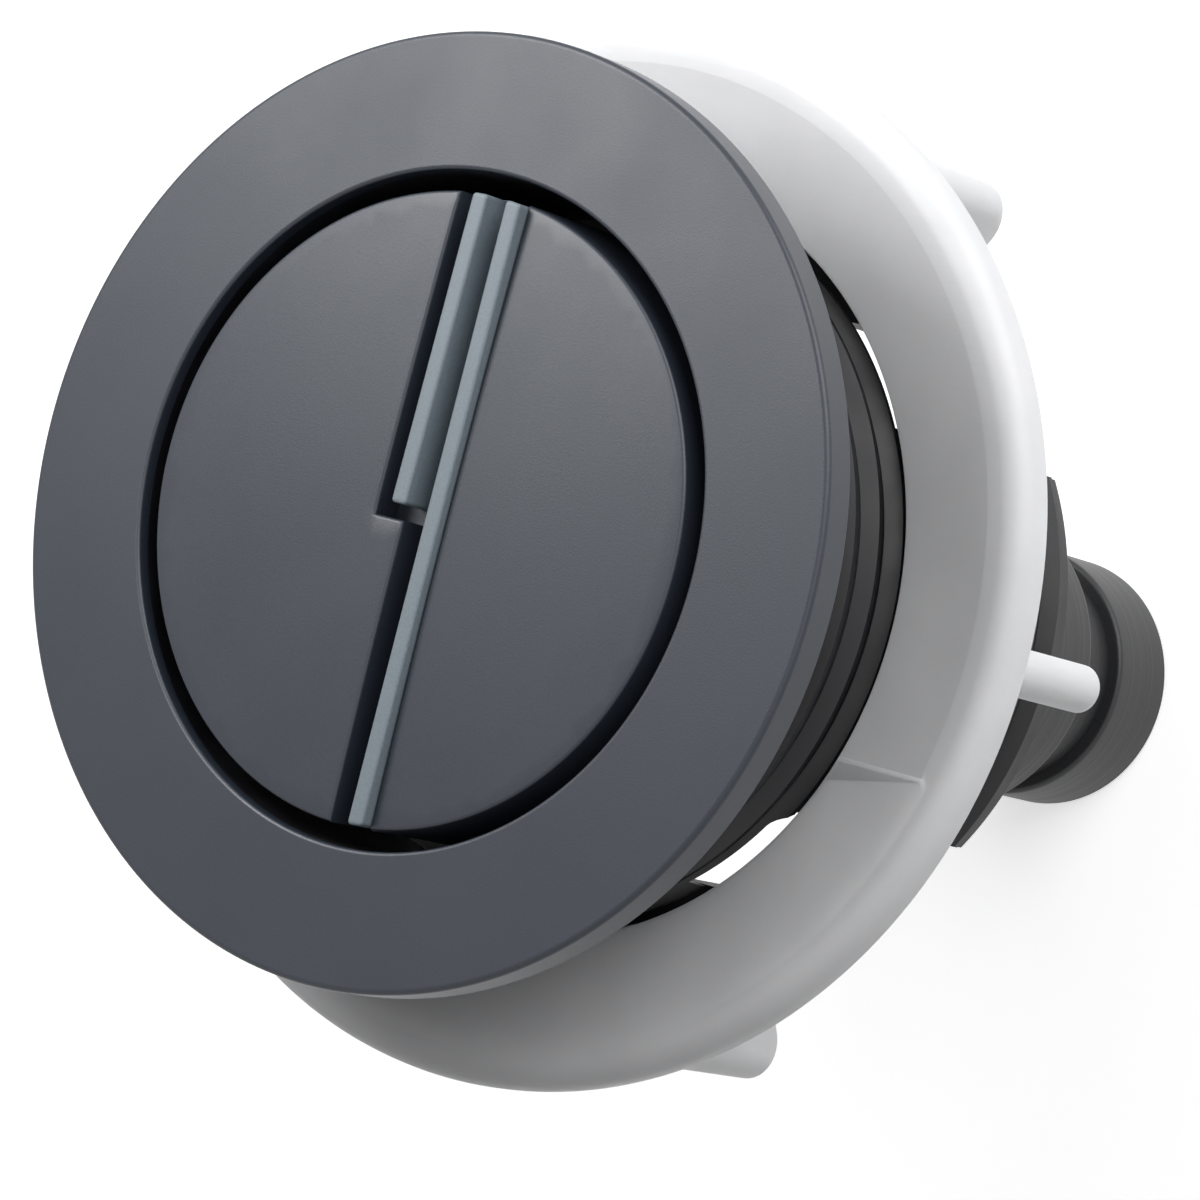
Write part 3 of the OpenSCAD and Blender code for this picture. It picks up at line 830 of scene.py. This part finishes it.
def nut_section():
    tip_w, root_w = 0.7 * MM, 1.4 * MM
    ridges = []
    for crest in (6, 7):
        middle = -FIRST_CREST - (crest + 0.5) * PITCH
        ridges += [
            (NUT_BORE, middle + root_w, 0), (THREAD_R - 0.7 * MM, middle + tip_w, 0.1 * MM),
            (THREAD_R - 0.7 * MM, middle - tip_w, 0.1 * MM), (NUT_BORE, middle - root_w, 0),
        ]
    return rounded([
        (MOUTH[0], MOUTH[1] - LIP_L, 0), (NUT_BORE, MOUTH[1] - LIP_L - 0.8 * MM, 0), *ridges,
        (NUT_BORE, HUB_END, 0.2 * MM), (HUB_R, HUB_END, 0.4 * MM), (HUB_R, MOUTH[1] - 1.9 * MM, 0.8 * MM),
        (NUT_R - 2.3 * MM, NUT_FRONT - 2.2 * MM, 0.5 * MM), (NUT_R - 2.0 * MM, NUT_FRONT - 3.1 * MM, 0.2 * MM),
        (NUT_R, NUT_FRONT - 3.1 * MM, 0.4 * MM), (NUT_R, NUT_FRONT, 2.0 * MM), (NUT_R - 2.4 * MM, NUT_FRONT, 0),
        (NUT_R - 3.6 * MM, NUT_FRONT - 0.17 * MM, 0.6 * MM), (*MOUTH, 0.12 * MM),
    ])


def fin():
    """One fin along +X: its top runs inside the disc, its outer edge and rear corner are round."""
    corner, inner = 2.0 * MM, 31.0 * MM
    top, slope = dish(inner, 0) - 1.4 * MM, (dish(inner + MM, 0) - dish(inner, 0)) / MM
    tip = FIN_T / 2
    steps = 8
    plan = [(inner, -tip), (inner, tip)]
    for k in range(steps * 2 + 1):
        turn = math.pi / 2 - math.pi * k / (steps * 2)
        plan.append((FIN_R - tip + tip * math.cos(turn), tip * math.sin(turn)))
    levels = [(FIN_END + corner, 0.0)]
    for k in range(1, steps + 1):
        turn = math.pi / 2 * k / steps
        levels.append((FIN_END + corner * (1 - math.sin(turn)), corner * (1 - math.cos(turn))))
    count = len(plan)
    reach = FIN_R - inner
    points = [(x, y, top + slope * (x - inner)) for x, y in plan]
    for z, back in levels:
        keep = (reach - back) / reach
        points += [(inner + (x - inner) * keep, y, z) for x, y in plan]
    faces = [tuple(range(count)), tuple(range(len(points) - count, len(points)))]
    for r in range(len(levels)):
        faces += [(r * count + k, r * count + (k + 1) % count, (r + 1) * count + (k + 1) % count,
                   (r + 1) * count + k) for k in range(count)]
    return mesh_object("fins", points, faces)


# %% [markdown]
# The front half of the nut's face carries a raised pad, a sixth of a millimetre high. Its edge
# slopes, so that it catches a line of light, and it is drawn as the buttons are: rings of its
# plan, each further in, with the top filled so that it follows the dish.

# %% Pad on the nut's face
PAD_H = 0.15 * MM
PAD_SLOPE = 0.35 * MM
PAD_Y = 10.1 * MM
PAD_OUT = NUT_R - 2.4 * MM
PAD_IN = MOUTH[0] + 0.1 * MM
PAD_CORNER = 0.8 * MM


def pad_plan(inset):
    """Plan of the pad: along its straight edge, round the rim and back round the mouth."""
    outer, inner, y = PAD_OUT - inset, PAD_IN + inset, -PAD_Y - inset
    corners = [(math.sqrt(outer ** 2 - y ** 2), y, PAD_CORNER - inset)]
    clear = math.asin(-y / outer) + math.radians(3)
    for k in range(91):
        turn = -clear - (math.pi - 2 * clear) * k / 90
        corners.append((outer * math.cos(turn), outer * math.sin(turn), 0))
    corners.append((-math.sqrt(outer ** 2 - y ** 2), y, PAD_CORNER - inset))
    start = math.asin(-y / inner)
    for k in range(91):
        turn = -math.pi + start + (math.pi - 2 * start) * k / 90
        corners.append((inner * math.cos(turn), inner * math.sin(turn), 0))
    return [(x, y, False) for x, y in rounded(corners)]


def nut_pad():
    levels = [(0, -0.3 * MM), (0, PAD_H * 0.2), (PAD_SLOPE * 0.4, PAD_H * 0.6), (PAD_SLOPE, PAD_H)]
    rings = [[(x, y, dish(x, y) + lift) for x, y, _ in pad_plan(inset)] for inset, lift in levels]
    points, faces = [p for ring in rings for p in ring], []
    count = len(rings[0])
    for r in range(len(rings) - 1):
        faces += [(r * count + k, r * count + (k + 1) % count, (r + 1) * count + (k + 1) % count,
                   (r + 1) * count + k) for k in range(count)]
    for inset, lift in (levels[0], levels[-1]):
        more, triangles = fill_plan(pad_plan(inset), lambda x, y: dish(x, y) + lift)
        start = len(points)
        points += more
        faces += [tuple(start + i for i in f) for f in triangles]
    return mesh_object("pad", points, faces)


# %% Join the nut
ROUND_PATTERN = round_pattern_tree()
nut = lathe("finned_nut", nut_section())
fins = grow(fin(), ROUND_PATTERN, Count=FINS, Start=FIN_START)
cut(nut, fins, operation="UNION")
cut(nut, nut_pad(), operation="UNION")
dress(nut, "nut", "white_plastic", WHITE, "fixing_nut", angle=40)

# %% [markdown]
# ## Push tubes
# The tail is a sleeve with a rod inside it and a collar on the rod's end. All three are turned
# shapes. The rear edge of the sleeve and both edges of the collar are rounded.

# %% Sleeve, rod and collar
SLEEVE_END = bottom_of("push_sleeve")
SLEEVE_TOP = top_of("push_sleeve")
ROD_END = bottom_of("push_rod")
COLLAR_END = bottom_of("end_collar")
PLAY = 0.05 * MM

sleeve = lathe("sleeve_tube", rounded([
    (ROD_R + PLAY, SLEEVE_END, 0.2 * MM), (SLEEVE_R, SLEEVE_END, 0.6 * MM), (SLEEVE_R, SLEEVE_TOP, 0.2 * MM),
    (11.85 * MM, SLEEVE_TOP, 0), (11.85 * MM, SLEEVE_TOP - 6.2 * MM, 0), (10.6 * MM, SLEEVE_TOP - 6.2 * MM, 0),
    (10.6 * MM, SLEEVE_END + 4 * MM, 0), (ROD_R + PLAY, SLEEVE_END + 3.2 * MM, 0),
]))
rod = lathe("rod_tube", rounded([
    (7.75 * MM, ROD_END, 0), (ROD_R, ROD_END, 0), (ROD_R, top_of("push_rod"), 0.1 * MM),
    (7.75 * MM, top_of("push_rod"), 0),
]))
collar = lathe("rod_collar", rounded([
    (0, COLLAR_END + 1.5 * MM, 0), (6.5 * MM, COLLAR_END + 1.5 * MM, 0.3 * MM), (7.2 * MM, COLLAR_END, 0.15 * MM),
    (COLLAR_R, COLLAR_END, 0.5 * MM), (COLLAR_R, ROD_END, 0.4 * MM), (7.7 * MM, ROD_END, 0),
    (7.7 * MM, top_of("end_collar"), 0.4 * MM), (0, top_of("end_collar"), 0),
]))
dress(sleeve, "half_flush", "tube_plastic", TUBE, "push_sleeve")
dress(rod, "full_flush", "tube_plastic", TUBE, "push_rod")
dress(collar, "full_flush", "tube_plastic", TUBE, "end_collar")

# %% [markdown]
# ## Return springs
# Each spring is one wire. The tree bends a straight line into a helix whose end turns lie
# closer than the middle ones, and sweeps a small circle along it.

# %% Springs
WIRE_R = 0.45 * MM
COIL_R = 2.8 * MM
TURNS = 7


def spring_tree():
    tree = Tree("coil_spring", Turns="Float", Radius="Float", Wire="Float", Rise="Float", Steps="Int")
    given = tree.inputs
    line = tree.add("GeometryNodeCurvePrimitiveLine", {"End": (0, 0, 1)}).outputs["Curve"]
    fine = tree.add("GeometryNodeResampleCurve", {"Curve": line, "Count": given["Steps"]}).outputs["Curve"]
    share = tree.add("GeometryNodeSplineParameter").outputs["Factor"]
    turn = tree.math("MULTIPLY", tree.math("MULTIPLY", share, given["Turns"]), 2 * math.pi)
    x = tree.math("MULTIPLY", tree.math("COSINE", turn), given["Radius"])
    y = tree.math("MULTIPLY", tree.math("SINE", turn), given["Radius"])
    wave = tree.math("SINE", tree.math("MULTIPLY", share, 2 * math.pi))
    eased = tree.math("MULTIPLY_ADD", wave, -0.08, share)
    z = tree.math("MULTIPLY", eased, given["Rise"])
    place = tree.add("ShaderNodeCombineXYZ", {"X": x, "Y": y, "Z": z}).outputs["Vector"]
    coil = tree.add("GeometryNodeSetPosition", {"Geometry": fine, "Position": place}).outputs["Geometry"]
    wire = tree.add("GeometryNodeCurvePrimitiveCircle", {"Resolution": 10, "Radius": given["Wire"]})
    swept = tree.add("GeometryNodeCurveToMesh", {
        "Curve": coil, "Profile Curve": wire.outputs["Curve"], "Fill Caps": True})
    tree.end(swept.outputs["Mesh"], STEEL)
    return tree


SPRING = spring_tree()
for button in ("half_flush", "full_flush"):
    for end in ("front", "rear"):
        node = f"{button.split('_')[0]}_spring_{end}"
        low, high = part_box(node)
        spring = open_line(node + "_coil", [(0, 0), (MM, 0)])
        grow(spring, SPRING, Turns=float(TURNS), Radius=COIL_R, Wire=WIRE_R,
             Rise=high.z - low.z - 2.2 * WIRE_R, Steps=TURNS * 24)
        middle = (low + high) / 2
        spring.data.transform(Matrix.Translation((middle.x, middle.y, low.z + 1.1 * WIRE_R)))
        dress(spring, button, "steel", STEEL, node)

# %% [markdown]
# ## Pieces inside
# The deck, the carriers, the screws and the pins keep the shape that the CAD model gives them.
# A copy of each is merged, its flat faces are joined up, and it takes the material given with it.

# %% Inner pieces


def refined(node, body, slot, material, width=0.12 * MM):
    """A merged copy of a CAD node, with its flat faces joined up, in the node's place."""
    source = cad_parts[node]
    shape = bpy.data.objects.new(node + "_piece", source.data.copy())
    bpy.context.scene.collection.objects.link(shape)
    merged = bmesh.new()
    merged.from_mesh(shape.data)
    bmesh.ops.remove_doubles(merged, verts=merged.verts, dist=2e-6)
    bmesh.ops.dissolve_limit(merged, angle_limit=math.radians(1), verts=merged.verts, edges=merged.edges)
    merged.to_mesh(shape.data)
    merged.free()
    dress(shape, body, slot, material, node)
    return shape


refined("guide_deck", "housing", "black_plastic", BLACK)
refined("half_flush_carrier", "half_flush", "black_plastic", BLACK)
refined("full_flush_carrier", "full_flush", "black_plastic", BLACK)
refined("deck_screws", "housing", "steel", STEEL)
refined("sleeve_pins", "half_flush", "steel", STEEL)
refined("rod_pin", "full_flush", "steel", STEEL)
refined("bezel_gasket", "housing", "seal_rubber", RUBBER)

# %% [markdown]
# ## Floor and light
# The floor is pale and lies just under the collar. Two small soft lamps close to the face give
# it the fall of light that the photograph has, bright at the top of the bezel and dark at its
# foot. Two large ones, at the upper right and beside the camera, light the nut and the tail, and
# the white surroundings fill the shadows. No lamp is seen by the camera.

# %% Floor
FLOOR_SIZE = 6.0
FLOOR_GLOW = 0.62


def seen_directly(tree, otherwise, strength):
    """A strength for what the camera, a reflection or clear plastic sees, and another for the rest."""
    path = tree.nodes.new("ShaderNodeLightPath")
    total = path.outputs["Is Camera Ray"]
    for ray in ("Is Glossy Ray", "Is Transmission Ray"):
        both = tree.nodes.new("ShaderNodeMath")
        both.operation = "MAXIMUM"
        tree.links.new(total, both.inputs[0])
        tree.links.new(path.outputs[ray], both.inputs[1])
        total = both.outputs["Value"]
    choice = tree.nodes.new("ShaderNodeMapRange")
    choice.inputs["To Min"].default_value = otherwise
    choice.inputs["To Max"].default_value = strength
    tree.links.new(total, choice.inputs["Value"])
    return choice.outputs["Result"]


def pale_floor():
    material = bpy.data.materials.new("pale_floor")
    material.use_nodes = True
    nodes, links = material.node_tree.nodes, material.node_tree.links
    shader = nodes["Principled BSDF"]
    shader.inputs["Base Color"].default_value = (0.8, 0.8, 0.8, 1)
    shader.inputs["Roughness"].default_value = 0.9
    shader.inputs["Emission Color"].default_value = (1, 1, 1, 1)
    links.new(seen_directly(material.node_tree, 0.0, FLOOR_GLOW), shader.inputs["Emission Strength"])
    return material


half = FLOOR_SIZE / 2
floor = mesh_object("floor", [(-half, -half, 0), (half, -half, 0), (half, half, 0), (-half, half, 0)], [(0, 1, 2, 3)])
floor.data.transform(Matrix.Translation((0, 0, COLLAR_END - 0.2 * MM)))
floor.data.materials.append(pale_floor())
floor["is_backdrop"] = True

# %% Lamps and surroundings


def soft_lamp(name, direction, distance, size, power):
    """A square area lamp that faces the origin from that direction."""
    lamp = bpy.data.lights.new(name, "AREA")
    lamp.shape = "SQUARE"
    lamp.size = size
    lamp.energy = power
    holder = bpy.data.objects.new(name, lamp)
    place = Vector(direction).normalized() * distance
    holder.matrix_world = Matrix.LocRotScale(place, turn_towards(-place, Vector((0, 0.3, 1))), None)
    holder.visible_camera = False
    bpy.context.scene.collection.objects.link(holder)


FILL = 0.12
soft_lamp("face", (-0.57, 0.4, 0.82), 0.22, 0.10, 0.29)
soft_lamp("face_top", (-0.57, 0.8, 0.82), 0.25, 0.12, 0.17)
soft_lamp("upper_right", (0.6, 0.7, 0.4), 0.5, 0.40, 1.75)
soft_lamp("beside_camera", (0.57, 0.25, 0.82), 0.5, 0.40, 0.45)

world = bpy.data.worlds.new("surroundings")
world.use_nodes = True
bpy.context.scene.world = world
background = world.node_tree.nodes["Background"]
background.inputs["Color"].default_value = (1, 1, 1, 1)
world.node_tree.links.new(seen_directly(world.node_tree, FILL, 1.0), background.inputs["Strength"])
bpy.context.scene.view_settings.view_transform = "Standard"

# %% Sizes and finish
low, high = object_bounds()
print("visual box:", [round(v, 5) for v in (*low, *high)])
